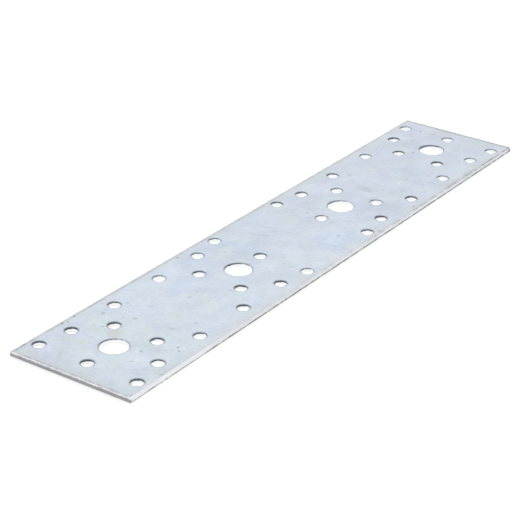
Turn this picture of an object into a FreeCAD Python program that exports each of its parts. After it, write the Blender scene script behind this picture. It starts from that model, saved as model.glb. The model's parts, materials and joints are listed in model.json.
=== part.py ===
import FreeCAD, Part
import Sketcher
import os

# Mending plate: one flat strip of zinc plated steel, sheared to length and punched from its top side.
# It is laid over a joint between two timbers, then nailed or bolted to both of them.
# +X runs along the plate, +Y across it, and +Z up, away from the timber.
# The origin is the centre of the underside, the face that lies on the timber.

# Driving dimensions in millimetres
SIZES = {
    "plate_length": 280,
    "plate_width": 55,
    "plate_thickness": 2,
    "edge_rollover": 0.6,
    "hole_flare": 0.3,
    "nail_hole_diameter": 5,
    "bolt_hole_diameter": 11,
    "end_margin": 10,
    "middle_margin": 22.5,
    "triple_to_bolt": 15,
    "bolt_to_close_pair": 12.5,
    "close_pair_to_wide_pair": 12.5,
    "triple_side_margin": 5,
    "wide_pair_side_margin": 7.5,
    "close_pair_gauge": 20,
}

# What each size is, as a note beside it in the sheet
MEANINGS = {
    "plate_length": "end to end",
    "plate_width": "long edge to long edge",
    "plate_thickness": "sheet thickness",
    "edge_rollover": "radius that the shear rolls into the top of the outline",
    "hole_flare": "how far the punch drags down and widens the mouth of each hole",
    "nail_hole_diameter": "round hole for a nail",
    "bolt_hole_diameter": "round hole for a bolt",
    "end_margin": "plate end to the first row of three nail holes",
    "middle_margin": "middle of the plate to the nearest row of three nail holes",
    "triple_to_bolt": "row of three to the bolt hole beside it",
    "bolt_to_close_pair": "bolt hole to the close pair of nail holes",
    "close_pair_to_wide_pair": "close pair to the wide pair that ends the group",
    "triple_side_margin": "long edge to the outer holes of a row of three",
    "wide_pair_side_margin": "long edge to the wide pair and to the pair beside a bolt hole",
    "close_pair_gauge": "across the plate, from hole to hole of the close pair",
}

doc = FreeCAD.newDocument("mending_plate")

sheet = doc.addObject("Spreadsheet::Sheet", "sizes")
for row, (alias, value) in enumerate(SIZES.items(), start=1):
    sheet.set(f"A{row}", alias)
    sheet.set(f"B{row}", str(value))
    sheet.set(f"C{row}", MEANINGS[alias])
    sheet.setAlias(f"B{row}", alias)
doc.recompute()

body = doc.addObject("PartDesign::Body", "mending_plate")
body.Label = "mending_plate"
body.Placement = FreeCAD.Placement(FreeCAD.Vector(0, 0, 0), FreeCAD.Rotation())

# Names for the sketches' own point and axis, and for the places on an edge
ORIGIN_POINT = (-1, 1)
X_AXIS = -1
START = 1
END = 2
CENTRE = 3


def origin_plane(role):
    """The body's own base plane of that role."""
    return next(item for item in body.Origin.OriginFeatures if item.Role == role)


def new_sketch(name):
    """An empty sketch on the plate's underside."""
    sketch = body.newObject("Sketcher::SketchObject", name)
    sketch.AttachmentSupport = (origin_plane("XY_Plane"), [""])
    sketch.MapMode = "FlatFace"
    return sketch


def dimension(sketch, name, constraint, formula):
    """Add a named dimension to the sketch and tie it to the sheet."""
    index = sketch.addConstraint(constraint)
    sketch.renameConstraint(index, name)
    sketch.setExpression(f"Constraints.{name}", formula)


def size(alias):
    """The value of a size, for a first guess that the dimensions then settle."""
    return float(sheet.get(alias))


# Outline of the strip, square at all four corners and centred on the origin
outline = new_sketch("outline")
half_length = size("plate_length") / 2
half_width = size("plate_width") / 2
corners = [
    FreeCAD.Vector(-half_length, -half_width, 0),
    FreeCAD.Vector(half_length, -half_width, 0),
    FreeCAD.Vector(half_length, half_width, 0),
    FreeCAD.Vector(-half_length, half_width, 0),
]
sides = [
    outline.addGeometry(Part.LineSegment(corner, corners[(index + 1) % len(corners)]), False)
    for index, corner in enumerate(corners)
]
for index, side in enumerate(sides):
    following = sides[(index + 1) % len(sides)]
    outline.addConstraint(Sketcher.Constraint("Coincident", side, END, following, START))
front, right, back, left = sides
for side in (front, back):
    outline.addConstraint(Sketcher.Constraint("Horizontal", side))
for side in (right, left):
    outline.addConstraint(Sketcher.Constraint("Vertical", side))
outline.addConstraint(Sketcher.Constraint("Symmetric", front, START, back, START, *ORIGIN_POINT))
along = Sketcher.Constraint("DistanceX", front, START, front, END, 2 * half_length)
across = Sketcher.Constraint("DistanceY", right, START, right, END, 2 * half_width)
dimension(outline, "length", along, "sizes.plate_length")
dimension(outline, "width", across, "sizes.plate_width")

strip = body.newObject("PartDesign::Pad", "strip")
strip.Profile = outline
strip.setExpression("Length", "sizes.plate_thickness")
doc.recompute()

# One group of holes, at the plate's +X end: a row of three nail holes, a bolt hole with a nail hole on
# each side, a close pair and a wide pair. Every pair straddles the plate's centre line.
group = new_sketch("hole_group")
group.setExpression("AttachmentOffset.Base.z", "sizes.plate_thickness")


def add_hole(x, y, alias):
    """A round hole in the group's sketch."""
    circle = Part.Circle(FreeCAD.Vector(x, y, 0), FreeCAD.Vector(0, 0, 1), size(alias) / 2)
    return group.addGeometry(circle, False)


def add_pair(x, offset):
    """Two nail holes, one each side of the centre line and at the same distance from it."""
    upper = add_hole(x, offset, "nail_hole_diameter")
    lower = add_hole(x, -offset, "nail_hole_diameter")
    group.addConstraint(Sketcher.Constraint("Symmetric", upper, CENTRE, lower, CENTRE, X_AXIS))
    return upper, lower


triple_x = half_length - size("end_margin")
bolt_x = triple_x - size("triple_to_bolt")
close_x = bolt_x - size("bolt_to_close_pair")
wide_x = close_x - size("close_pair_to_wide_pair")

triple_y = half_width - size("triple_side_margin")
wide_y = half_width - size("wide_pair_side_margin")
close_y = size("close_pair_gauge") / 2

triple = add_pair(triple_x, triple_y)
triple_middle = add_hole(triple_x, 0, "nail_hole_diameter")
beside_bolt = add_pair(bolt_x, wide_y)
close_pair = add_pair(close_x, close_y)
wide_pair = add_pair(wide_x, wide_y)
bolt_hole = add_hole(bolt_x, 0, "bolt_hole_diameter")

# The two holes on the centre line keep to the rows beside them
for hole, row in ((triple_middle, triple), (bolt_hole, beside_bolt)):
    group.addConstraint(Sketcher.Constraint("PointOnObject", hole, CENTRE, X_AXIS))
    group.addConstraint(Sketcher.Constraint("Vertical", hole, CENTRE, row[0], CENTRE))

# All nail holes are of one size
first_nail_hole = triple[0]
for hole in (triple[1], triple_middle, *beside_bolt, *close_pair, *wide_pair):
    group.addConstraint(Sketcher.Constraint("Equal", first_nail_hole, hole))
for name, hole in (("nail_hole", first_nail_hole), ("bolt_hole", bolt_hole)):
    alias = f"{name}_diameter"
    dimension(group, name, Sketcher.Constraint("Diameter", hole, size(alias)), f"sizes.{alias}")

# Rows along the plate, each measured from the one nearer the end
from_middle = Sketcher.Constraint("DistanceX", *ORIGIN_POINT, first_nail_hole, CENTRE, triple_x)
dimension(group, "triple_row", from_middle, "sizes.plate_length / 2 - sizes.end_margin")
rows = (triple, beside_bolt, close_pair, wide_pair)
steps = ("triple_to_bolt", "bolt_to_close_pair", "close_pair_to_wide_pair")
for alias, outer, inner in zip(steps, rows, rows[1:]):
    step = Sketcher.Constraint("DistanceX", inner[0], CENTRE, outer[0], CENTRE, size(alias))
    dimension(group, alias, step, f"sizes.{alias}")

# Gauges across the plate, from hole to hole of each pair
wide_gauge = "sizes.plate_width - 2 * sizes.wide_pair_side_margin"
gauges = (
    ("triple_gauge", triple, triple_y, "sizes.plate_width - 2 * sizes.triple_side_margin"),
    ("bolt_row_gauge", beside_bolt, wide_y, wide_gauge),
    ("close_gauge", close_pair, close_y, "sizes.close_pair_gauge"),
    ("wide_gauge", wide_pair, wide_y, wide_gauge),
)
for name, (upper, lower), offset, formula in gauges:
    gauge = Sketcher.Constraint("DistanceY", lower, CENTRE, upper, CENTRE, 2 * offset)
    dimension(group, name, gauge, formula)

punching = body.newObject("PartDesign::Pocket", "punched_group")
punching.Profile = group
punching.Type = "ThroughAll"
doc.recompute()

# The group faces its own mirror image across a plane midway between its row of three and the next one
group_middle = body.newObject("PartDesign::Plane", "group_middle")
group_middle.AttachmentSupport = (origin_plane("YZ_Plane"), [""])
group_middle.MapMode = "FlatFace"
group_middle.setExpression(
    "AttachmentOffset.Base.z", "(sizes.plate_length / 2 - sizes.end_margin + sizes.middle_margin) / 2"
)

# Both groups are then repeated on the other half of the plate
all_groups = body.newObject("PartDesign::MultiTransform", "all_groups")
all_groups.Originals = [punching]
towards_middle = body.newObject("PartDesign::Mirrored", "towards_middle")
towards_middle.MirrorPlane = (group_middle, [""])
other_half = body.newObject("PartDesign::Mirrored", "other_half")
other_half.MirrorPlane = (origin_plane("YZ_Plane"), [""])
all_groups.Transformations = [towards_middle, other_half]
body.Tip = all_groups
doc.recompute()

# The shear and the punch drag the top edges down and leave the underside sharp: a small round along the
# outline, and a small flare in the mouth of each hole
TOUCH = 1e-6
top = size("plate_thickness")


def top_edges(feature, curve_type):
    """The feature's edges of that curve that lie in the top face."""
    return [
        f"Edge{index}"
        for index, edge in enumerate(feature.Shape.Edges, start=1)
        if edge.Curve.TypeId == curve_type
        and abs(edge.BoundBox.ZMin - top) < TOUCH
        and abs(edge.BoundBox.ZMax - top) < TOUCH
    ]


flared_holes = body.newObject("PartDesign::Chamfer", "flared_holes")
flared_holes.Base = (all_groups, top_edges(all_groups, "Part::GeomCircle"))
flared_holes.setExpression("Size", "sizes.hole_flare")
body.Tip = flared_holes
doc.recompute()

rolled_outline = body.newObject("PartDesign::Fillet", "rolled_outline")
rolled_outline.Base = (flared_holes, top_edges(flared_holes, "Part::GeomLine"))
rolled_outline.setExpression("Radius", "sizes.edge_rollover")
body.Tip = rolled_outline
doc.recompute()

# Nothing is written unless every feature is sound and each one took off metal
for item in doc.Objects:
    if "Invalid" in item.State or "Error" in item.State:
        raise RuntimeError(f"{item.Name} failed: {item.State}")
stages = (strip, punching, all_groups, flared_holes, rolled_outline)
for before, after in zip(stages, stages[1:]):
    if not after.Shape.Volume < before.Shape.Volume:
        raise RuntimeError(f"{after.Name} removed nothing")
shape = body.Shape
if shape.isNull() or not shape.isValid() or len(shape.Solids) != 1:
    raise RuntimeError("the plate isn't one valid solid")

os.makedirs("parts", exist_ok=True)
shape.exportStep(f"parts/{body.Label}.step")
print(f"{body.Label}: {len(shape.Faces)} faces, {shape.Volume:.1f} mm3, box {shape.BoundBox}")
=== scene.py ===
import json
import math

import bpy
from mathutils import Euler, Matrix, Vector


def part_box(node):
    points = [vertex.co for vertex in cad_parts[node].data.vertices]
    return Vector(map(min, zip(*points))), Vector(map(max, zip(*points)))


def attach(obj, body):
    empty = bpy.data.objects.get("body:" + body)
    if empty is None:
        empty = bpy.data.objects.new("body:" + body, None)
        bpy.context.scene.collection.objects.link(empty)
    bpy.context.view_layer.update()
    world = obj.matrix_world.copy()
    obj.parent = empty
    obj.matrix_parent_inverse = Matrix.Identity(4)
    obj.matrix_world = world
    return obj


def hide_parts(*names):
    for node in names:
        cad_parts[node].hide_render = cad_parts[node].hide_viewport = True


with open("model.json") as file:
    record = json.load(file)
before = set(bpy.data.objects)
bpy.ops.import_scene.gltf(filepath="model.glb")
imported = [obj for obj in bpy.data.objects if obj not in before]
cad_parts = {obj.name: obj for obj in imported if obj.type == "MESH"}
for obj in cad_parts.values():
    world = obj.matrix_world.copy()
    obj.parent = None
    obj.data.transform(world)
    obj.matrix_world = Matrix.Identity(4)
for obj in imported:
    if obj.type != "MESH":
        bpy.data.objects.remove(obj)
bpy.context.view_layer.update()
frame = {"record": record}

mm = 0.001
plateNode = "mending_plate"
plateLow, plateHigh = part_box(plateNode)
plateLength, plateWidth, plateThickness = plateHigh - plateLow


# Short forms for node trees. A value can be a number, a tuple or the output of another node

def plug(tree, value, socket):
    if isinstance(value, bpy.types.NodeSocket):
        tree.links.new(value, socket)
    elif value is not None:
        socket.default_value = value


def addNode(tree, kind, inputs=None, **settings):
    node = tree.nodes.new(kind)
    for key, value in settings.items():
        setattr(node, key, value)
    for key, value in (inputs or {}).items():
        plug(tree, value, node.inputs[key])
    return node


def maths(tree, operation, *values):
    return addNode(tree, "ShaderNodeMath", dict(enumerate(values)), operation=operation).outputs[0]


def plus(tree, first, second):
    return maths(tree, "ADD", first, second)


def times(tree, first, second):
    return maths(tree, "MULTIPLY", first, second)


def minus(tree, first, second):
    return maths(tree, "SUBTRACT", first, second)


def vectorMaths(tree, operation, *values):
    node = addNode(tree, "ShaderNodeVectorMath", dict(enumerate(values)), operation=operation)
    return node.outputs["Value" if operation in ("LENGTH", "DOT_PRODUCT") else "Vector"]


def vectorScale(tree, vector, factor):
    node = addNode(tree, "ShaderNodeVectorMath", {0: vector, "Scale": factor}, operation="SCALE")
    return node.outputs[0]


def combine(tree, x, y, z):
    return addNode(tree, "ShaderNodeCombineXYZ", {0: x, 1: y, 2: z}).outputs[0]


def axes(tree, vector):
    return addNode(tree, "ShaderNodeSeparateXYZ", {0: vector}).outputs


def remap(tree, value, low, high, newLow=0.0, newHigh=1.0, smooth=False):
    node = addNode(tree, "ShaderNodeMapRange", {0: value, 1: low, 2: high, 3: newLow, 4: newHigh})
    node.interpolation_type = "SMOOTHSTEP" if smooth else "LINEAR"
    return node.outputs[0]


def between(tree, share, first, second):
    return remap(tree, share, 0.0, 1.0, first, second)


def sway(tree, share, swing, start=0.0):
    # a noise between 0 and 1 moves start by up to half of swing each way
    return maths(tree, "MULTIPLY_ADD", minus(tree, share, 0.5), swing, start)


def inMm(tree, length):
    return times(tree, length, 1 / mm)


def newGroup(name, kind, inputs, outputs):
    # inputs are (name, kind of socket, default) and outputs are (name, kind of socket)
    tree = bpy.data.node_groups.new(name, kind)
    for label, socketKind, default in inputs:
        socket = tree.interface.new_socket(name=label, in_out="INPUT", socket_type="NodeSocket" + socketKind)
        if default is not None:
            socket.default_value = default
    for label, socketKind in outputs:
        tree.interface.new_socket(name=label, in_out="OUTPUT", socket_type="NodeSocket" + socketKind)
    return tree, tree.nodes.new("NodeGroupInput").outputs, tree.nodes.new("NodeGroupOutput").inputs


def groupIn(tree, group, inputs):
    node = tree.nodes.new(group.bl_idname.replace("NodeTree", "NodeGroup"))
    node.node_tree = group
    for key, value in inputs.items():
        plug(tree, value, node.inputs[key])
    return node.outputs


# The mending plate: one piece. Lengths are in millimetres, colours are linear, turns are in degrees
# from +X, and tones are the share by which something darkens or lightens the zinc. Pairs are for the
# left end and the right end of the plate where no note says otherwise. The back is the far side and
# the right end, which face away from the photo's camera

mendingPlate = {
    "shape": {
        "edgeRoll": 0.60,  # how far the shear pulled the top edge in, and down
        "edgeRollDepth": 0.60,
        "edgeBorder": 0.50,  # flat border beside the roll, which the finish shades
        "edgeWaver": 0.06,
        "waverSize": 2.5,
        "holeRoll": 0.30,
        "holeRollDepth": 0.30,
        "holeBorder": 0.45,
        "breakOut": 0.06,  # how far the cut leans in at the underside
        "edgeStep": 1.0,
    },
    "mesh": {
        "holeSides": 64,
        "wallSteps": 14,  # steps up a cut edge's section, and those where its roll and border begin
        "rollFrom": 6,
        "borderFrom": 12,
        "seed": 3.0,
        "weldDistance": 0.001,
        "crispAngle": 40,  # edges that bend by more degrees than this are crisp
    },
    "face": {
        "zinc": (0.655, 0.723, 0.805),
        "blue": (0.602, 0.684, 0.797),
        "mint": (0.664, 0.743, 0.797),
        "lilac": (0.650, 0.700, 0.806),
        "warm": (0.660, 0.697, 0.720),
        "cloudSize": 26.0,
        "clouding": 1.0,
        "leaning": 0.08,  # mint leans to the left, lilac to the right, warm to the ends, blue to the middle
        "shadeSize": 45.0,
        "shade": 0.18,
        "shadeAlong": (0.033, -0.022),
        "patchSize": 8.0,
        "patch": 0.22,
        "grainSize": 1.6,
        "grain": 0.27,
        "warmBand": (4.0, 7.0),  # width of the warmer grey along the edges
        "warmBandShare": 0.75,
        "warmWander": 5.0,
        "warmWanderSize": 7.0,
        "endTurn": (1.8, 1.2),  # between these distances from an end a side's line turns into the end's
        "backTurn": (3.0, 2.0),  # and the near side's into the back's
        "edgeTurn": (1.7, 1.3),  # and a hole's into the edge's
        # painted shade where the face turns into the roll, along the near side and at the left end
        "nearSideDark": (0.00, 0.18),
        "leftEndDark": 0.36,
        "backLineAt": (1.3, 1.1),  # a dark line inside the back
        "backLineWidth": (1.5, 1.0),
        "backLineDark": (0.21, 0.09),
        "backLineCore": 0.2,  # share of the width that is fully dark
        "rightEndDark": 0.18,
        "endBand": (12.0, 3.0),  # a wider soft dark band beside each end
        "endBandDark": (0.08, 0.23),
        "endBandFull": 0.6,  # from the end to here it is fully dark
        "endBandTurn": 10.0,  # this near the middle one end's band turns into the other's
        "holeDark": 0.30,  # painted shade: a fine line round each hole, darker on the side towards the photo's camera
        "holeDarker": 0.25,
        "holeDarkerTowards": (-0.83, -0.56, 0.0),
        "raggedSize": 3.5,
        "ragged": (0.8, 0.45),  # how far dark lines break up, on the near side and on the other edges
        "roughness": 0.34,
        "haze": (-0.05, 0.07),  # how far the roughness goes down and up in clouds
        "hazeSize": 9.0,
        "markRoughness": 0.5,  # dark marks are rougher by this share of their tone
        "dashTurn": -55.0,
        "dashLength": 3.4,
        "dashWidth": 1.5,
        "dashShare": 0.14,
        "dashLightShare": 0.32,
        "dashRadius": (0.16, 0.38),  # the smallest and the largest, as a share of a cell
        "dashCore": 0.35,
        "dashDark": 0.42,
        "dashLight": 0.252,
        "dashWobble": 0.8,
        "markWobble": 0.6,
        "markWobbles": 900.0,  # for each metre
    },
    # clouds of the tints: the values of the noise where they begin and are full, how much smaller they
    # are than cloudSize, and how many metres off their noise is taken, so that each looks different
    "tints": {
        "blue": {"begins": 0.50, "full": 0.68, "finer": 1.0, "shift": 0.0},
        "mint": {"begins": 0.50, "full": 0.66, "finer": 1.5, "shift": 0.7},
        "lilac": {"begins": 0.50, "full": 0.66, "finer": 1.3, "shift": 1.3},
        "warm": {"begins": 0.60, "full": 0.80, "finer": 2.2, "shift": 2.1},
    },
    # marks on the top face, by kind, where the photo shows them between the holes. core is the share
    # of the oval that has the full tone
    "marks": {
        "pits": {
            "at": ((-113, 26), (-111, 25), (-106, 26), (-104, -21), (-102, -19), (-44, 25), (26, -26),
                   (56, -25), (107, 5), (131, 15)),
            "length": 1.1, "width": 1.3, "turn": -55, "core": 0.45, "tone": -0.36,
        },
        "shortDashes": {
            "at": ((-121, -26), (-120, -12), (-94, 7), (-92, -9), (-86, 17), (-83, 8), (-68, 1), (-54, -8),
                   (79, -8)),
            "length": 2.4, "width": 0.9, "turn": -50, "core": 0.45, "tone": -0.22,
        },
        "longDashes": {
            "at": ((-31, 0), (-23, -16), (-6, 9), (1, 13), (2, -14), (26, -10), (131, 9)),
            "length": 5.0, "width": 1.0, "turn": -74, "core": 0.45, "tone": -0.13,
        },
        "smudges": {
            "at": ((-112, -10), (-98, 19), (12, -15), (67, 14)),
            "length": 1.8, "width": 2.6, "turn": -55, "core": 0.45, "tone": -0.20,
        },
        "faintSmudges": {
            "at": ((-107, 16), (-83, -13), (88, -14)),
            "length": 2.2, "width": 2.6, "turn": -55, "core": 0.45, "tone": -0.09,
        },
        "greyCloud": {
            "at": ((59, 1),),
            "length": 12.0, "width": 7.0, "turn": -95, "core": 0.0, "tone": -0.16,
        },
        "darkClouds": {
            "at": ((-116, -25), (-31, -21), (-29, 7), (46, -12), (84, -23), (111, 15)),
            "length": 24, "width": 15, "turn": -65, "core": 0.0, "tone": -0.085,
        },
        "lightClouds": {
            "at": ((-119, -15), (-65, 11), (-55, 20), (7, 10), (6, -12), (46, 18)),
            "length": 22, "width": 15, "turn": -65, "core": 0.0, "tone": 0.075,
        },
        "brightDashes": {
            "at": ((-105, -16), (-82, 22), (-10, 15), (54, -5)),
            "length": 4.0, "width": 0.9, "turn": -65, "core": 0.45, "tone": 0.08,
        },
        "scrapeAlongSide": {
            "at": ((96, -26.2),),
            "length": 38, "width": 0.8, "turn": 0.6, "core": 0.45, "tone": -0.15,
        },
    },
    # a yellowish smear between the two holes nearest the left end
    "smear": {
        "at": (-107.0, 5.5), "length": 8.0, "width": 9.0, "turn": -53, "core": 0.1, "share": 0.65,
        "color": (0.605, 0.64, 0.585),
    },
    # long sides keep bright zinc far down; the short ends are darker below the roll, partly bare grey steel
    # and partly painted shade
    "edge": {
        "sideRoll": (0.760, 0.800, 0.850),
        "endRoll": (0.90, 0.91, 0.94),
        "backRoll": (0.62, 0.615, 0.61),  # top of the back's roll
        "backRollDepth": 0.16,
        "sideLand": (0.86, 0.87, 0.89),
        "endLand": (0.35, 0.355, 0.38),
        # the break: bare steel, darkened with painted contact shade at the foot of the wall
        "sideBreak": (0.35, 0.36, 0.38),
        "sideBreakFar": (0.25, 0.26, 0.275),
        "endTurn": (0.9, 0.3),  # between these distances from an end a side's look turns into the end's
        "landTop": (1.40, 1.45),  # the zinc ends here below the roll, on the sides and on the ends
        "landSoftness": 0.12,
        "breakTop": (0.50, 0.62),
        "breakSoftness": 0.10,
        "breakChangesAt": -95.0,  # right of here the break is darker and higher
        "breakChangesOver": 5.0,
        "sideDarkens": ((-95.0, 0.06), (85.0, 0.09)),  # right of each place, by so much
        "sideDarkensOver": 8.0,
        "cornerBreak": 3.0,  # the dark break, with its painted shade, climbs over this length at the right end
        "wander": 0.8,  # how far the tops of land and break go up and down
        "wanderSize": 1.8,
        # painted shade where the roll begins
        "crease": 0.32,
        "creaseDepth": (0.22, 0.32),  # on the sides and on the ends
        "streak": 0.35,
        "streakSize": 0.35,
        "patch": 0.36,
        "patchSize": 6.0,
        "breakGaps": 0.5,  # how far the dark break thins out from place to place
        "roughness": 0.32,
        "breakRoughness": 0.50,
    },
    # hole walls carry painted shade from the top down as far as the punch slid, and are bright below, where
    # they mirror the paper. slide is that share of the wall: usual, but deep or slight in the holes named
    "holes": {
        # the rolled rim is a darker grey: painted shade at the hole's edge
        "rim": (0.40, 0.45, 0.52),
        "dark": (0.110, 0.120, 0.140),
        "light": (0.94, 0.968, 0.985),
        "deeperTowards": (-0.04, 0.06, 0.0),  # how much deeper the painted shade goes for each mm off the middle, on the side turned from the light
        "wander": 0.8,
        "wanderSize": 1.5,
        "fade": (-0.10, 0.12),  # from below to above its lower limit the dark sets in
        "mottle": 0.4,
        "mottleSize": 0.8,
        "rimShare": 0.75,  # the rim's colour covers this share of the roll and is full just below the top
        "rimFull": 0.02,
        "roughness": 0.25,
        "usual": 0.34,
        "usualBolt": 0.17,
        "halfDeepBolt": {"slide": 0.27, "at": ((-37.5, 0),)},
        "deepBolt": {"slide": 0.36, "at": ((115, 0),)},
        "deep": {
            "slide": 0.44,
            "at": ((-130, -22.5), (-130, 0), (-130, 22.5), (-115, 20), (-102.5, -10), (-102.5, 10),
                   (-62.5, -20), (-50, -10), (-37.5, -20), (37.5, -20), (62.5, -20), (102.5, -10),
                   (115, 20)),
        },
        "slight": {
            "slide": 0.21,
            "at": ((-62.5, 20), (-37.5, 20), (-22.5, -22.5), (-22.5, 22.5), (22.5, 0), (50, -10), (50, 10),
                   (90, -20), (90, 20), (115, -20), (130, -22.5), (130, 0), (130, 22.5)),
        },
    },
}


# The holes, from the part's own bolt patterns: two or four holes about the middle of the plate

def slideAt(x, y, isBolt):
    look = mendingPlate["holes"]
    for kind in (look["deep"], look["slight"], look["halfDeepBolt"], look["deepBolt"]):
        if (x, y) in kind["at"]:
            return kind["slide"]
    return look["usualBolt"] if isBolt else look["usual"]


def holesFromRecord():
    mounts = [mount["dims"] for mount in frame["record"]["mounts"] if mount["kind"] == "bolt_pattern"]
    smallest = min(dims["hole_r_mm"] for dims in mounts)
    centres, radii, slides = [], [], []
    for dims in mounts:
        halfX, halfY = dims["spacing_x_mm"] / 2, dims.get("spacing_y_mm", 0.0) / 2
        for x in (-halfX, halfX):
            for y in ((-halfY, halfY) if halfY else (0.0,)):
                centres.append((x * mm, y * mm, 0.0))
                radii.append(dims["hole_r_mm"] * mm)
                slides.append(slideAt(x, y, dims["hole_r_mm"] > smallest))
    return centres, radii, slides


# Mesh nodes, and the zones of the plate's mesh by the finish that each one gets

faceZone, edgeZone, holeZone = 0, 1, 2


def meshNode(tree, kind, inputs=None, **settings):
    return addNode(tree, "GeometryNode" + kind, inputs, **settings).outputs[0]


def setPosition(tree, geometry, position):
    return meshNode(tree, "SetPosition", {"Geometry": geometry, "Position": position})


def flipped(tree, geometry):
    return meshNode(tree, "FlipFaces", {"Mesh": geometry})


def realized(tree, geometry):
    return meshNode(tree, "RealizeInstances", {0: geometry})


def join(tree, *parts):
    node = tree.nodes.new("GeometryNodeJoinGeometry")
    for part in parts:
        plug(tree, part, node.inputs[0])
    return node.outputs[0]


def store(tree, geometry, name, kind, domain, value):
    return meshNode(tree, "StoreNamedAttribute", {
        "Geometry": geometry, "Name": name, "Value": value,
    }, data_type=kind, domain=domain)


def named(tree, name, kind):
    return meshNode(tree, "InputNamedAttribute", {"Name": name}, data_type=kind)


def zoned(tree, geometry, borderShare, zone):
    # the flat border belongs to the face and carries how near it is to the edge
    geometry = store(tree, geometry, "borderShade", "FLOAT", "POINT", minus(tree, 1.0, borderShare))
    offBorder = maths(tree, "LESS_THAN", borderShare, 0.001)
    return store(tree, geometry, "finish", "INT", "FACE", times(tree, zone, offBorder))


# Section of a cut edge, by step from 0 at the underside: a straight wall with a slight break-out
# below, then the round that the tool pulls down, then a narrow flat border of the top face

def rolledSection():
    lengths = ("Roll", "Roll Depth", "Border", "Thickness", "Break Out")
    tree, given, result = newGroup(
        "rolledSection", "GeometryNodeTree",
        [("Step", "Float", 0.0), ("Roll From", "Float", 6.0), ("Border From", "Float", 12.0),
         ("Wall Steps", "Float", 14.0)] + [(name, "Float", 0.0003) for name in lengths],
        [(name, "Float") for name in ("Inset", "Height", "Wall Share", "Border Share")],
    )
    wallShare = remap(tree, given["Step"], 0.0, given["Roll From"])
    turn = remap(tree, given["Step"], given["Roll From"], given["Border From"], 0.0, math.pi / 2)
    borderShare = remap(tree, given["Step"], given["Border From"], given["Wall Steps"])
    rollInset = times(tree, given["Roll"], minus(tree, 1.0, maths(tree, "COSINE", turn)))
    slack = maths(tree, "POWER", minus(tree, 1.0, wallShare), 2.0)
    inset = maths(tree, "MULTIPLY_ADD", given["Break Out"], slack, rollInset)
    wallTop = minus(tree, given["Thickness"], given["Roll Depth"])
    rollHeight = times(tree, given["Roll Depth"], maths(tree, "SINE", turn))
    plug(tree, maths(tree, "MULTIPLY_ADD", given["Border"], borderShare, inset), result["Inset"])
    plug(tree, maths(tree, "MULTIPLY_ADD", wallShare, wallTop, rollHeight), result["Height"])
    plug(tree, wallShare, result["Wall Share"])
    plug(tree, borderShare, result["Border Share"])
    return tree


# Pulls points that lie outside a rectangle, smaller than the plate by Inset, back onto it

def insetRectangle():
    tree, given, result = newGroup(
        "insetRectangle", "GeometryNodeTree",
        [("Length", "Float", 0.28), ("Width", "Float", 0.055), ("Inset", "Float", 0.0),
         ("Height", "Float", 0.0)],
        [("Position", "Vector")],
    )
    place = meshNode(tree, "InputPosition")
    halfX = minus(tree, maths(tree, "DIVIDE", given["Length"], 2.0), given["Inset"])
    halfY = minus(tree, maths(tree, "DIVIDE", given["Width"], 2.0), given["Inset"])
    upper = combine(tree, halfX, halfY, 0.0)
    lower = vectorScale(tree, upper, -1.0)
    inside = vectorMaths(tree, "MINIMUM", vectorMaths(tree, "MAXIMUM", place, lower), upper)
    lifted = vectorMaths(tree, "ADD", inside, combine(tree, 0.0, 0.0, given["Height"]))
    plug(tree, lifted, result["Position"])
    return tree


def section(tree, given, group, kind):
    # kind is Edge or Hole, and each point of the wall carries its step
    shared = ("Wall Steps", "Roll From", "Border From", "Thickness", "Break Out")
    return groupIn(tree, group, {
        "Step": named(tree, "step", "FLOAT"), **{name: given[name] for name in shared},
        **{name: given[f"{kind} {name}"] for name in ("Roll", "Roll Depth", "Border")},
    })


# Hole walls: one open tube, placed at every centre and then given its radius and its section

def holeWalls(tree, given, points, sectionGroup):
    position = meshNode(tree, "InputPosition")
    tube = meshNode(tree, "MeshCylinder", {
        "Vertices": given["Hole Sides"], "Side Segments": given["Wall Steps"], "Radius": 1.0, "Depth": 1.0,
    }, fill_type="NONE")
    height = plus(tree, axes(tree, position)[2], 0.5)
    tube = store(tree, tube, "step", "FLOAT", "POINT", times(tree, height, given["Wall Steps"]))
    outward = vectorMaths(tree, "MULTIPLY", position, (1, 1, 0))
    tube = store(tree, tube, "outward", "FLOAT_VECTOR", "POINT", outward)
    tubes = meshNode(tree, "InstanceOnPoints", {"Points": points, "Instance": tube})
    hole = section(tree, given, sectionGroup, "Hole")
    radius = plus(tree, named(tree, "holeRadius", "FLOAT"), hole["Inset"])
    reach = vectorScale(tree, named(tree, "outward", "FLOAT_VECTOR"), radius)
    place = vectorMaths(tree, "ADD", named(tree, "holeCentre", "FLOAT_VECTOR"), reach)
    place = vectorMaths(tree, "ADD", place, combine(tree, 0.0, 0.0, hole["Height"]))
    walls = flipped(tree, setPosition(tree, realized(tree, tubes), place))
    return zoned(tree, walls, hole["Border Share"], holeZone)


# The plate's outline: the border of a fine grid

def plateOutline(tree, given):
    def count(size):
        steps = maths(tree, "ROUND", maths(tree, "DIVIDE", size, given["Edge Step"]))
        return plus(tree, steps, 1.0)

    grid = meshNode(tree, "MeshGrid", {
        "Size X": given["Length"], "Size Y": given["Width"],
        "Vertices X": count(given["Length"]), "Vertices Y": count(given["Width"]),
    })
    neighbours = meshNode(tree, "InputMeshEdgeNeighbors")
    hasOneFace = maths(tree, "LESS_THAN", neighbours, 1.5)
    return meshNode(tree, "MeshToCurve", {"Mesh": grid, "Selection": hasOneFace})


# The cut edge all round: the outline swept one metre up, and then pulled to its section. It wavers
# most halfway up the wall, and not at all at the foot and at the roll

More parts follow.
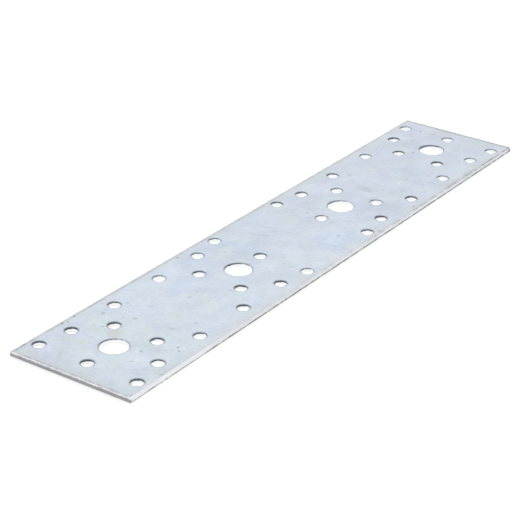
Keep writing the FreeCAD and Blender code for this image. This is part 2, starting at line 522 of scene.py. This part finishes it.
def edgeWall(tree, given, outline, sectionGroup, insetGroup):
    position = meshNode(tree, "InputPosition")
    upright = meshNode(tree, "SetCurveNormal", {"Curve": outline}, mode="Z_UP")
    line = meshNode(tree, "CurvePrimitiveLine", {"Start": (0, 0, 0), "End": (0, -1, 0)})
    count = plus(tree, given["Wall Steps"], 1.0)
    rung = meshNode(tree, "ResampleCurve", {"Curve": line, "Count": count})
    wall = meshNode(tree, "CurveToMesh", {"Curve": upright, "Profile Curve": rung})
    rise = times(tree, axes(tree, position)[2], given["Wall Steps"])
    wall = store(tree, wall, "step", "FLOAT", "POINT", rise)
    edge = section(tree, given, sectionGroup, "Edge")
    halfway = times(tree, edge["Wall Share"], minus(tree, 1.0, edge["Wall Share"]))
    ripple = addNode(tree, "ShaderNodeTexNoise", {
        "Vector": vectorMaths(tree, "MULTIPLY", position, (1, 1, 3 * mm)),  # the metre counts as 3 mm
        "W": given["Seed"], "Scale": maths(tree, "DIVIDE", 1.0, given["Waver Size"]), "Detail": 3.0,
    }, noise_dimensions="4D").outputs[0]
    waver = times(tree, times(tree, halfway, 4.0), times(tree, ripple, given["Edge Waver"]))
    wall = setPosition(tree, wall, groupIn(tree, insetGroup, {
        "Length": given["Length"], "Width": given["Width"],
        "Inset": plus(tree, edge["Inset"], waver), "Height": edge["Height"],
    })[0])
    return zoned(tree, wall, edge["Border Share"], edgeZone)


# A flat face: the outline and the hole rims, both moved into the metal, and the area between them

def flatFace(tree, given, outline, points, insetGroup, edgeInset, holeInset, height):
    border = setPosition(tree, outline, groupIn(tree, insetGroup, {
        "Length": given["Length"], "Width": given["Width"], "Inset": edgeInset,
    })[0])
    circle = meshNode(tree, "CurvePrimitiveCircle", {
        "Resolution": given["Hole Sides"], "Radius": 1.0,
    }, mode="RADIUS")
    radius = plus(tree, named(tree, "holeRadius", "FLOAT"), holeInset)
    rims = meshNode(tree, "InstanceOnPoints", {
        "Points": points, "Instance": circle, "Scale": combine(tree, radius, radius, 1.0),
    })
    filled = meshNode(tree, "FillCurve", {"Curve": join(tree, border, realized(tree, rims))})
    lifted = meshNode(tree, "SetPosition", {"Geometry": filled, "Offset": combine(tree, 0.0, 0.0, height)})
    return store(tree, lifted, "finish", "INT", "FACE", faceZone)


# The parts welded into one closed mesh, with crisp corners and a finish for each zone

def weldedPlate(tree, given, flatParts, roundParts):
    mesh = mendingPlate["mesh"]
    parts = [meshNode(tree, "SetShadeSmooth", {"Geometry": part, "Shade Smooth": smooth})
             for group, smooth in ((flatParts, False), (roundParts, True)) for part in group]
    plate = meshNode(tree, "MergeByDistance", {
        "Geometry": join(tree, *parts), "Distance": mesh["weldDistance"] * mm,
    })
    angle = meshNode(tree, "InputMeshEdgeAngle")
    isCrisp = maths(tree, "GREATER_THAN", angle, math.radians(mesh["crispAngle"]))
    plate = meshNode(tree, "SetShadeSmooth", {
        "Geometry": plate, "Shade Smooth": False, "Selection": isCrisp,
    }, domain="EDGE")
    plate = realized(tree, plate)
    for zone, name in ((faceZone, "Face Finish"), (edgeZone, "Edge Finish"), (holeZone, "Hole Finish")):
        isZone = addNode(tree, "FunctionNodeCompare", {2: named(tree, "finish", "INT"), 3: zone},
                         data_type="INT", operation="EQUAL").outputs[0]
        choice = {"Geometry": plate, "Selection": isZone, "Material": given[name]}
        plate = meshNode(tree, "SetMaterial", choice)
    return plate


# The whole plate from a cloud of hole centres that carry a holeRadius

def punchedPlate():
    lengths = ("Length", "Width", "Thickness", "Edge Roll", "Edge Roll Depth", "Edge Border", "Hole Roll",
               "Hole Roll Depth", "Hole Border", "Break Out", "Edge Waver", "Waver Size", "Edge Step")
    tree, given, result = newGroup(
        "punchedPlate", "GeometryNodeTree",
        [("Hole Centres", "Geometry", None), ("Seed", "Float", 0.0)]
        + [(name, "Float", 0.001) for name in lengths]
        + [(name, "Int", 8) for name in ("Roll From", "Border From", "Wall Steps", "Hole Sides")]
        + [(name, "Material", None) for name in ("Face Finish", "Edge Finish", "Hole Finish")],
        [("Plate", "Geometry")],
    )
    tree.is_modifier = True
    sectionGroup, insetGroup = rolledSection(), insetRectangle()
    position = meshNode(tree, "InputPosition")
    points = store(tree, given["Hole Centres"], "holeCentre", "FLOAT_VECTOR", "POINT", position)
    outline = plateOutline(tree, given)
    edgeInset = plus(tree, given["Edge Roll"], given["Edge Border"])
    holeInset = plus(tree, given["Hole Roll"], given["Hole Border"])
    breakOut = given["Break Out"]
    top = flatFace(tree, given, outline, points, insetGroup, edgeInset, holeInset, given["Thickness"])
    underside = flatFace(tree, given, outline, points, insetGroup, breakOut, breakOut, 0.0)
    walls = (edgeWall(tree, given, outline, sectionGroup, insetGroup),
             holeWalls(tree, given, points, sectionGroup))
    plate = weldedPlate(tree, given, (flipped(tree, underside), top), walls)
    plug(tree, plate, result["Plate"])
    return tree


def setModifierInputs(modifier, values):
    # by each socket's identifier, before the object is first evaluated. Edge Roll takes edgeRoll
    for item in modifier.node_group.interface.items_tree:
        key = item.name[0].lower() + item.name[1:].replace(" ", "")
        if item.in_out == "INPUT" and key in values:
            modifier[item.identifier] = values[key]


def buildPlate(finishes):
    centres, radii, slides = holesFromRecord()
    mesh = bpy.data.meshes.new("holeCentres")
    mesh.from_pydata(centres, [], [])
    for name, values in (("holeRadius", radii), ("slide", slides)):
        mesh.attributes.new(name, "FLOAT", "POINT").data.foreach_set("value", values)
    guide = bpy.data.objects.new("holeCentres", mesh)
    bpy.context.scene.collection.objects.link(guide)
    modifier = guide.modifiers.new("punchedPlate", "NODES")
    modifier.node_group = punchedPlate()
    setModifierInputs(modifier, {
        "length": plateLength, "width": plateWidth, "thickness": plateThickness,
        **{name: size * mm for name, size in mendingPlate["shape"].items()}, **mendingPlate["mesh"],
        **{name + "Finish": finish for name, finish in finishes.items()},
    })
    graph = bpy.context.evaluated_depsgraph_get()
    result = bpy.data.meshes.new_from_object(guide.evaluated_get(graph), preserve_all_data_layers=True,
                                             depsgraph=graph)
    guide.modifiers.remove(modifier)
    bpy.data.objects.remove(guide)
    # the node tree's primitives leave an empty first slot
    result.materials.pop(index=0)
    piece = bpy.data.objects.new("punched_plate", result)
    bpy.context.scene.collection.objects.link(piece)
    return piece


# Materials of the plate, all metal

def newMetal(name, roughness):
    material = bpy.data.materials.new(name)
    material.use_nodes = True
    surface = material.node_tree.nodes["Principled BSDF"]
    surface.inputs["Metallic"].default_value = 1.0
    surface.inputs["Roughness"].default_value = roughness
    return material, material.node_tree, surface


def objectPlace(tree):
    return tree.nodes.new("ShaderNodeTexCoord").outputs["Object"]


def meshValue(tree, name, output="Fac"):
    return addNode(tree, "ShaderNodeAttribute", attribute_name=name).outputs[output]


def noise(tree, place, size, detail=2.0, roughness=0.5):
    # size is the rough width of one cloud in millimetres
    return addNode(tree, "ShaderNodeTexNoise", {
        "Vector": place, "Scale": 1 / mm / size, "Detail": detail, "Roughness": roughness,
    }).outputs["Fac"]


def mixColor(tree, share, first, second):
    node = addNode(tree, "ShaderNodeMix", data_type="RGBA")
    for socket, value in ((node.inputs[0], share), (node.inputs[6], first), (node.inputs[7], second)):
        plug(tree, (*value, 1.0) if isinstance(value, tuple) else value, socket)
    return node.outputs[2]


def shifted(tree, place, x, y=0.0):
    # metres away the same noise looks different
    return vectorMaths(tree, "ADD", place, (x, y, 0.0))


def stretched(tree, place, up):
    return vectorMaths(tree, "MULTIPLY", place, (1, 1, up))


def leftToRight(tree, x, values):
    return remap(tree, x, -plateLength / 2, plateLength / 2, *values)


def brighten(tree, color, amount):
    # amount is a signed share: -0.1 darkens by a tenth
    return vectorScale(tree, color, plus(tree, amount, 1.0))


# Large soft clouds in the zinc, and the warmer grey beside the plate's edges

def zincClouds():
    look = mendingPlate["face"]
    tree, given, result = newGroup(
        "zincClouds", "ShaderNodeTree",
        [("Position", "Vector", None)]
        + [(name, "Color", (1, 1, 1, 1)) for name in ("Zinc", "Blue", "Mint", "Lilac", "Warm")]
        + [("Cloud Size", "Float", 26.0), ("Clouding", "Float", 1.0), ("Leaning", "Float", 0.08),
           ("Warm Band", "Float", 4.0), ("Half Length", "Float", 0.14), ("Half Width", "Float", 0.0275)],
        [("Color", "Color")],
    )
    place = given["Position"]
    x, y = axes(tree, place)[:2]
    toRight = times(tree, maths(tree, "DIVIDE", x, given["Half Length"]), given["Leaning"])
    toEnds = maths(tree, "MULTIPLY_ADD", given["Leaning"], -0.5, maths(tree, "ABSOLUTE", toRight))
    lean = {"blue": times(tree, toEnds, -1.0), "mint": times(tree, toRight, -1.0),
            "lilac": toRight, "warm": toEnds}
    scale = maths(tree, "DIVIDE", 1 / mm, given["Cloud Size"])
    color = given["Zinc"]
    for name, tint in mendingPlate["tints"].items():
        cloud = addNode(tree, "ShaderNodeTexNoise", {
            "Vector": shifted(tree, place, tint["shift"], tint["shift"]),
            "Scale": times(tree, scale, tint["finer"]), "Detail": 3.0, "Roughness": 0.45,
            "Distortion": 0.35,
        }).outputs["Fac"]
        cloud = plus(tree, cloud, lean[name])
        cloud = remap(tree, cloud, tint["begins"], tint["full"], smooth=True)
        cloud = times(tree, cloud, given["Clouding"])
        color = mixColor(tree, cloud, color, given[name.capitalize()])
    fromEnd = minus(tree, given["Half Length"], maths(tree, "ABSOLUTE", x))
    fromSide = minus(tree, given["Half Width"], maths(tree, "ABSOLUTE", y))
    fromEdge = inMm(tree, maths(tree, "MINIMUM", fromEnd, fromSide))
    wander = noise(tree, place, look["warmWanderSize"], 3.0)
    fromEdge = sway(tree, wander, look["warmWander"], fromEdge)
    band = remap(tree, fromEdge, given["Warm Band"], 0.0, smooth=True)
    band = times(tree, band, look["warmBandShare"])
    plug(tree, mixColor(tree, band, color, given["Warm"]), result["Color"])
    return tree


# Short scattered dashes, lying one way: cells of a stretched pattern, of which a few carry a mark

def scatteredDashes():
    look = mendingPlate["face"]
    tree, given, result = newGroup(
        "scatteredDashes", "ShaderNodeTree",
        [("Position", "Vector", None), ("Turn", "Float", 0.0), ("Length", "Float", 3.0),
         ("Width", "Float", 1.5), ("Share", "Float", 0.1)],
        [("Dark", "Float"), ("Light", "Float")],
    )
    wobble = sway(tree, noise(tree, given["Position"], 1.2), look["dashWobble"] * mm)
    place = vectorMaths(tree, "ADD", given["Position"], combine(tree, wobble, wobble, 0.0))
    turned = addNode(tree, "ShaderNodeVectorRotate", {"Vector": place, "Angle": given["Turn"]},
                     rotation_type="Z_AXIS").outputs[0]
    spread = combine(tree, maths(tree, "DIVIDE", 1 / mm, given["Length"]),
                     maths(tree, "DIVIDE", 1 / mm, given["Width"]), 100.0)
    cells = addNode(tree, "ShaderNodeTexVoronoi", {
        "Vector": vectorMaths(tree, "MULTIPLY", turned, spread), "Scale": 1.0,
    }, voronoi_dimensions="3D")
    pick, kind, size = axes(tree, cells.outputs["Color"])  # three values of each cell's own, 0 to 1
    radius = between(tree, size, *look["dashRadius"])
    core = times(tree, radius, look["dashCore"])
    mark = remap(tree, cells.outputs["Distance"], radius, core, smooth=True)
    chosen = times(tree, mark, maths(tree, "LESS_THAN", pick, given["Share"]))
    isLight = maths(tree, "GREATER_THAN", kind, 1.0 - look["dashLightShare"])
    plug(tree, times(tree, chosen, isLight), result["Light"])
    plug(tree, times(tree, chosen, minus(tree, 1.0, isLight)), result["Dark"])
    return tree


# The marks that the photo shows, each an oval with ragged borders

def placedMarks():
    tree, given, result = newGroup(
        "placedMarks", "ShaderNodeTree", [("Position", "Vector", None)],
        [("Tone", "Float"), ("Smear", "Float")],
    )
    look = mendingPlate["face"]
    wobble = look["markWobble"] * mm
    ragged = addNode(tree, "ShaderNodeTexNoise", {
        "Vector": given["Position"], "Scale": look["markWobbles"], "Detail": 2.0,
    }).outputs["Color"]
    ragged = vectorMaths(tree, "MULTIPLY_ADD", ragged, (wobble, wobble, 0.0), (-wobble / 2, -wobble / 2, 0.0))
    place = stretched(tree, vectorMaths(tree, "ADD", given["Position"], ragged), 0)

    def oval(at, kind):
        inside = addNode(tree, "ShaderNodeMapping", {
            "Vector": place, "Location": (at[0] * mm, at[1] * mm, 0),
            "Rotation": (0, 0, math.radians(kind["turn"])),
            "Scale": (kind["length"] * mm / 2, kind["width"] * mm / 2, 1),
        }, vector_type="TEXTURE").outputs[0]
        # fades out a quarter past its size
        return remap(tree, vectorMaths(tree, "LENGTH", inside), 1.25, kind["core"], smooth=True)

    tone = 0.0
    for kind in mendingPlate["marks"].values():
        for at in kind["at"]:
            tone = maths(tree, "MULTIPLY_ADD", oval(at, kind), kind["tone"], tone)
    onTop = maths(tree, "GREATER_THAN", axes(tree, given["Position"])[2], plateThickness / 2)
    plug(tree, times(tree, tone, onTop), result["Tone"])
    smear = mendingPlate["smear"]
    plug(tree, times(tree, oval(smear["at"], smear), onTop), result["Smear"])
    return tree


# How strong the dark lines along the edges are from place to place, so that they look broken. calm is
# 0 on the near side and 1 on the other edges

def raggedness(tree, place, calm):
    look = mendingPlate["face"]
    ragged = noise(tree, stretched(tree, place, 0), look["raggedSize"], 4.0, 0.65)
    swing = remap(tree, ragged, 0.38, 0.62, -1.0, 1.0, smooth=True)
    return maths(tree, "MULTIPLY_ADD", swing, between(tree, calm, *look["ragged"]), 1.0)


# painted shade round each hole's rim, deeper on the side towards the camera
def holeShadeLine(tree, place, look):
    outward = vectorMaths(tree, "SUBTRACT", place, meshValue(tree, "holeCentre", "Vector"))
    outward = vectorMaths(tree, "NORMALIZE", stretched(tree, outward, 0))
    towards = vectorMaths(tree, "DOT_PRODUCT", outward, look["holeDarkerTowards"])
    towards = maths(tree, "MAXIMUM", towards, 0.0)
    return maths(tree, "MULTIPLY_ADD", towards, look["holeDarker"], look["holeDark"])


# How much darker the face gets at its rims: a line of painted shade beside the near side, the left end
# and each hole, where the face turns into the roll, one further in along the back, and a wider soft band
# beside the ends

def faceBorders(tree, place, look):
    x, y = axes(tree, place)[:2]
    halfLength, halfWidth = plateLength / 2, plateWidth / 2
    fromEnd = inMm(tree, minus(tree, halfLength, maths(tree, "ABSOLUTE", x)))
    fromSide = inMm(tree, minus(tree, halfWidth, maths(tree, "ABSOLUTE", y)))
    fromBack = inMm(tree, maths(tree, "MINIMUM", minus(tree, halfLength, x), minus(tree, halfWidth, y)))
    isEnd = remap(tree, fromEnd, *look["endTurn"])
    isBack = remap(tree, fromBack, *look["backTurn"])
    isEdge = remap(tree, maths(tree, "MINIMUM", fromEnd, fromSide), *look["edgeTurn"])
    ragged = raggedness(tree, place, maths(tree, "MAXIMUM", isBack, isEnd))

    # painted shade where the face turns into the roll
    nearShadeLine = between(tree, isEnd, leftToRight(tree, x, look["nearSideDark"]), look["leftEndDark"])
    nearShadeLine = times(tree, times(tree, nearShadeLine, minus(tree, 1.0, isBack)), ragged)
    rimShadeLine = between(tree, isEdge, holeShadeLine(tree, place, look), nearShadeLine)

    offLine = minus(tree, fromBack, leftToRight(tree, x, look["backLineAt"]))
    reach = times(tree, leftToRight(tree, x, look["backLineWidth"]), 0.5)
    offLine = maths(tree, "DIVIDE", maths(tree, "ABSOLUTE", offLine), reach)
    backLine = remap(tree, offLine, 1.0, look["backLineCore"], smooth=True)
    backDark = between(tree, isEnd, leftToRight(tree, x, look["backLineDark"]), look["rightEndDark"])
    backLine = times(tree, times(tree, backLine, backDark), ragged)

    middle = look["endBandTurn"] * mm
    width, dark = (remap(tree, x, -middle, middle, *look[name]) for name in ("endBand", "endBandDark"))
    band = times(tree, dark, remap(tree, fromEnd, width, look["endBandFull"], smooth=True))
    soft = plus(tree, band, backLine)
    return maths(tree, "MULTIPLY_ADD", meshValue(tree, "borderShade"), rimShadeLine, soft)


def zincFace():
    look, smear = mendingPlate["face"], mendingPlate["smear"]
    material, tree, surface = newMetal("zincFace", look["roughness"])
    place = objectPlace(tree)
    x = axes(tree, place)[0]
    clouds = groupIn(tree, zincClouds(), {
        "Position": place, "Cloud Size": look["cloudSize"], "Clouding": look["clouding"],
        "Leaning": look["leaning"], "Half Length": plateLength / 2, "Half Width": plateWidth / 2,
        "Warm Band": leftToRight(tree, x, look["warmBand"]),
        **{name.capitalize(): (*look[name], 1) for name in ("zinc", "blue", "mint", "lilac", "warm")},
    })
    dashes = groupIn(tree, scatteredDashes(), {
        "Position": place, "Turn": math.radians(-look["dashTurn"]), "Length": look["dashLength"],
        "Width": look["dashWidth"], "Share": look["dashShare"],
    })
    marks = groupIn(tree, placedMarks(), {"Position": place})
    smeared = times(tree, marks["Smear"], smear["share"])
    color = mixColor(tree, smeared, clouds["Color"], smear["color"])
    tone = sway(tree, noise(tree, place, look["grainSize"], 6.0, 0.65), look["grain"])
    for kind, away in (("shade", 5.0), ("patch", 8.0)):
        cloud = noise(tree, shifted(tree, place, away), look[kind + "Size"])
        tone = sway(tree, cloud, look[kind], tone)
    tone = plus(tree, tone, leftToRight(tree, x, look["shadeAlong"]))
    tone = minus(tree, tone, faceBorders(tree, place, look))
    tone = maths(tree, "MULTIPLY_ADD", dashes["Dark"], -look["dashDark"], tone)
    tone = maths(tree, "MULTIPLY_ADD", dashes["Light"], look["dashLight"], tone)
    tone = plus(tree, marks["Tone"], tone)
    plug(tree, brighten(tree, color, tone), surface.inputs["Base Color"])
    haze = noise(tree, place, look["hazeSize"], 4.0, 0.6)
    rough = remap(tree, haze, 0.3, 0.7, *(look["roughness"] + change for change in look["haze"]))
    rough = maths(tree, "MULTIPLY_ADD", marks["Tone"], -look["markRoughness"], rough)
    plug(tree, rough, surface.inputs["Roughness"])
    return material


# The cut edge, from the top down: the roll, the land where zinc was drawn over the cut, and the darker
# break, partly bare steel and partly painted contact shade at the foot. The tops of land and break wander

def changeAt(tree, x, at, over, *values):
    # a smooth change along the plate, over that length on each side of the place
    return remap(tree, x, (at - over) * mm, (at + over) * mm, *values, smooth=True)


def breakShare(tree, x, isFar, level, look):
    endAt = plateLength / 2
    climb = remap(tree, x, endAt - look["cornerBreak"] * mm, endAt, 0.0, look["landTop"][0])
    breakTop = plus(tree, between(tree, isFar, *look["breakTop"]), climb)
    below = minus(tree, breakTop, level)
    return remap(tree, below, -look["breakSoftness"], look["breakSoftness"], smooth=True)


# Vertical streaks of the shear below the roll, uneven patches, and sides that darken along the plate

def shearTone(tree, place, x, isEnd, aboveLand, look):
    streaks = noise(tree, stretched(tree, place, 0.06), look["streakSize"], 3.0, 0.6)
    streakDepth = maths(tree, "MULTIPLY_ADD", aboveLand, -look["streak"], look["streak"])
    tone = sway(tree, streaks, streakDepth)
    tone = sway(tree, noise(tree, place, look["patchSize"], 4.0, 0.6), look["patch"], tone)
    for start, darker in look["sideDarkens"]:
        further = changeAt(tree, x, start, look["sideDarkensOver"], 0.0, -darker)
        tone = maths(tree, "MULTIPLY_ADD", minus(tree, 1.0, isEnd), further, tone)
    return tone


def shearedEdge():
    look = mendingPlate["edge"]
    material, tree, surface = newMetal("shearedEdge", look["roughness"])
    place = objectPlace(tree)
    x, y, z = axes(tree, place)

    def reaches(value, limit):
        return remap(tree, value, *(limit - distance * mm for distance in look["endTurn"]))

    isEnd = reaches(maths(tree, "ABSOLUTE", x), plateLength / 2)
    isBack = maths(tree, "MAXIMUM", reaches(x, plateLength / 2), reaches(y, plateWidth / 2))
    isFar = changeAt(tree, x, look["breakChangesAt"], look["breakChangesOver"])
    calm = maths(tree, "MAXIMUM", isBack, isEnd)
    ragged = raggedness(tree, place, calm)
    height = inMm(tree, z)
    fromTop = minus(tree, plateThickness / mm, height)
    wander = noise(tree, stretched(tree, place, 0.2), look["wanderSize"], 4.0)
    level = sway(tree, wander, look["wander"], height)

    # roll, darker at the very top of the back
    roll = mixColor(tree, isEnd, look["sideRoll"], look["endRoll"])
    nearTop = remap(tree, fromTop, look["backRollDepth"], look["backRollDepth"] * 0.6, smooth=True)
    darkRoll = times(tree, isBack, times(tree, nearTop, ragged))
    roll = mixColor(tree, darkRoll, roll, look["backRoll"])

    # land and break
    inBreak = breakShare(tree, x, isFar, level, look)
    # bare steel of the break with painted contact shade
    breakAndShade = mixColor(tree, isFar, look["sideBreak"], look["sideBreakFar"])
    gaps = raggedness(tree, shifted(tree, place, 0.3, 0.2), calm)
    shown = maths(tree, "MULTIPLY_ADD", gaps, look["breakGaps"], 1.0 - look["breakGaps"])
    land = mixColor(tree, times(tree, inBreak, shown), look["sideLand"], breakAndShade)
    # the ends' darker land is partly bare grey steel and partly painted shade
    land = mixColor(tree, isEnd, land, look["endLand"])
    overLand = minus(tree, level, between(tree, isEnd, *look["landTop"]))
    aboveLand = remap(tree, overLand, -look["landSoftness"], look["landSoftness"], smooth=True)
    color = mixColor(tree, aboveLand, land, roll)

    # painted shade where the roll begins, growing along the near side
    tone = shearTone(tree, place, x, isEnd, aboveLand, look)
    creaseDepth = between(tree, isEnd, *look["creaseDepth"])
    inRollStartShade = remap(tree, maths(tree, "DIVIDE", fromTop, creaseDepth), 1.0, 0.5, smooth=True)
    alongSide = remap(tree, x, look["breakChangesAt"] * mm, plateLength / 2)
    rollStartShadeStrength = times(tree, maths(tree, "MAXIMUM", isEnd, alongSide), ragged)
    tone = maths(tree, "MULTIPLY_ADD", times(tree, inRollStartShade, rollStartShadeStrength), -look["crease"], tone)
    plug(tree, brighten(tree, color, tone), surface.inputs["Base Color"])
    rough = between(tree, inBreak, look["roughness"], look["breakRoughness"])
    plug(tree, rough, surface.inputs["Roughness"])
    return material


def holeWall():
    look = mendingPlate["holes"]
    material, tree, surface = newMetal("holeWall", look["roughness"])
    place = objectPlace(tree)
    outward = vectorMaths(tree, "SUBTRACT", place, meshValue(tree, "holeCentre", "Vector"))
    lean = inMm(tree, vectorMaths(tree, "DOT_PRODUCT", outward, look["deeperTowards"]))
    top = plateThickness / mm
    height = inMm(tree, axes(tree, place)[2])
    wander = noise(tree, place, look["wanderSize"], 3.0)
    depth = sway(tree, wander, look["wander"], minus(tree, top, height))
    reach = maths(tree, "MULTIPLY_ADD", meshValue(tree, "slide"), top, lean)
    # painted shade of the hole's inside, from the top down as far as the slide reaches
    inHoleShade = remap(tree, minus(tree, reach, depth), *look["fade"], smooth=True)
    rimDepth = mendingPlate["shape"]["holeRollDepth"] * look["rimShare"]
    onRim = remap(tree, height, top - rimDepth, top - look["rimFull"], smooth=True)
    color = mixColor(tree, inHoleShade, look["light"], look["dark"])
    color = mixColor(tree, onRim, color, look["rim"])
    mottle = sway(tree, noise(tree, place, look["mottleSize"], 3.0), look["mottle"])
    plug(tree, brighten(tree, color, times(tree, mottle, inHoleShade)), surface.inputs["Base Color"])
    return material


finishes = {"face": zincFace(), "edge": shearedEdge(), "hole": holeWall()}
print("finishes:", ", ".join(material.name for material in finishes.values()))
plate = buildPlate(finishes)
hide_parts(plateNode)
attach(plate, "root")
print("plate:", len(plate.data.vertices), "points,", len(plate.data.polygons), "faces")


# White paper under the plate, an even white room, a broad soft lamp overhead and one at the right.
# Lengths are in metres

studio = {
    "paperSize": 6.0,
    "paperTone": 0.75,
    "paperGlow": 0.32,
    "glowUnderPlate": 0.75,
    "paperAlbedo": 0.75,
    "underPlate": 0.001,  # this far inside its outline the paper counts as under the plate
    "roomLight": 0.97,
    "lampHeight": 1.5,
    "lampSize": 1.6,
    "lampWatts": 1.2,
    "sideLampAt": (0.75, -0.95, 0.50),
    "sideLampSize": 1.4,
    "sideLampWatts": 0.6,
}


# The paper: the camera sees it white away from the plate, with its contact shadow, and white
# through the holes too, as in the photo. Metal mirrors plain white paper

def paperMaterial():
    material = bpy.data.materials.new("whitePaper")
    material.use_nodes = True
    tree = material.node_tree
    tree.nodes.remove(tree.nodes["Principled BSDF"])
    inside = [maths(tree, "LESS_THAN", maths(tree, "ABSOLUTE", along), size / 2 - studio["underPlate"])
              for along, size in zip(axes(tree, objectPlace(tree)), (plateLength, plateWidth))]
    under = times(tree, *inside)
    rays = tree.nodes.new("ShaderNodeLightPath").outputs

    def paper(tone):
        return addNode(tree, "ShaderNodeBsdfDiffuse", {"Color": (tone, tone, tone, 1.0)}).outputs[0]

    def glow(strength):
        return addNode(tree, "ShaderNodeEmission", {"Color": (1, 1, 1, 1), "Strength": strength}).outputs[0]

    lift = maths(tree, "MULTIPLY_ADD", under, studio["glowUnderPlate"], studio["paperGlow"])
    shown = addNode(tree, "ShaderNodeAddShader", {0: paper(studio["paperTone"]), 1: glow(lift)}).outputs[0]
    mixed = addNode(tree, "ShaderNodeMixShader", {
        0: rays["Is Glossy Ray"], 1: paper(studio["paperAlbedo"]), 2: glow(1.0),
    }).outputs[0]
    mixed = addNode(tree, "ShaderNodeMixShader", {0: rays["Is Camera Ray"], 1: mixed, 2: shown}).outputs[0]
    plug(tree, mixed, tree.nodes["Material Output"].inputs["Surface"])
    return material


def addLamp(name, size, watts, location):
    data = bpy.data.lights.new(name, "AREA")
    data.shape = "DISK"
    data.size = size
    data.energy = watts
    lamp = bpy.data.objects.new(name, data)
    lamp.location = location
    lamp.rotation_euler = Vector(location).to_track_quat("Z", "Y").to_euler()
    bpy.context.scene.collection.objects.link(lamp)


def buildStudio():
    half = studio["paperSize"] / 2
    mesh = bpy.data.meshes.new("paper")
    corners = [(-half, -half, 0), (half, -half, 0), (half, half, 0), (-half, half, 0)]
    mesh.from_pydata(corners, [], [(0, 1, 2, 3)])
    paper = bpy.data.objects.new("paper", mesh)
    bpy.context.scene.collection.objects.link(paper)
    mesh.materials.append(paperMaterial())

    world = bpy.data.worlds.new("whiteRoom")
    bpy.context.scene.world = world
    world.use_nodes = True
    tree = world.node_tree
    background = tree.nodes["Background"]
    background.inputs["Color"].default_value = (1, 1, 1, 1)
    rays = tree.nodes.new("ShaderNodeLightPath").outputs
    level = between(tree, rays["Is Camera Ray"], studio["roomLight"], 1.0)
    plug(tree, level, background.inputs["Strength"])
    addLamp("overheadLamp", studio["lampSize"], studio["lampWatts"], (0.0, 0.0, studio["lampHeight"]))
    addLamp("sideLamp", studio["sideLampSize"], studio["sideLampWatts"], studio["sideLampAt"])


# The photo's camera, solved from the centres of the 40 holes and the edges of the plate.
# heading is the way it looks, counted from +X towards +Y

photoCamera = {
    "aim": (-0.0224, 0.0001, 0.0),
    "distance": 0.7024,
    "heading": 34.07,
    "elevation": 26.36,
    "roll": 1.40,
    "focalPixels": 1758.3,
    "photoPixels": 520,
    "sensorWidth": 36,
}


def buildCamera():
    shot = photoCamera
    heading, elevation = math.radians(shot["heading"]), math.radians(shot["elevation"])
    forward = Vector((math.cos(heading) * math.cos(elevation), math.sin(heading) * math.cos(elevation),
                      -math.sin(elevation)))
    data = bpy.data.cameras.new("photoCamera")
    data.sensor_width = shot["sensorWidth"]
    data.lens = shot["focalPixels"] * data.sensor_width / shot["photoPixels"]
    camera = bpy.data.objects.new("photoCamera", data)
    camera.location = Vector(shot["aim"]) - forward * shot["distance"]
    # +90 about X lays the camera level, the roll turns the picture about the line of sight
    level = Euler((math.pi / 2 - elevation, 0, heading - math.pi / 2)).to_matrix()
    camera.rotation_euler = (level @ Euler((0, 0, math.radians(shot["roll"]))).to_matrix()).to_euler()
    bpy.context.scene.collection.objects.link(camera)
    bpy.context.scene.camera = camera


buildStudio()
print("studio: paper, white room and two soft lamps")
buildCamera()
bpy.context.scene.view_settings.view_transform = "Standard"
print("camera: at the photo's view")
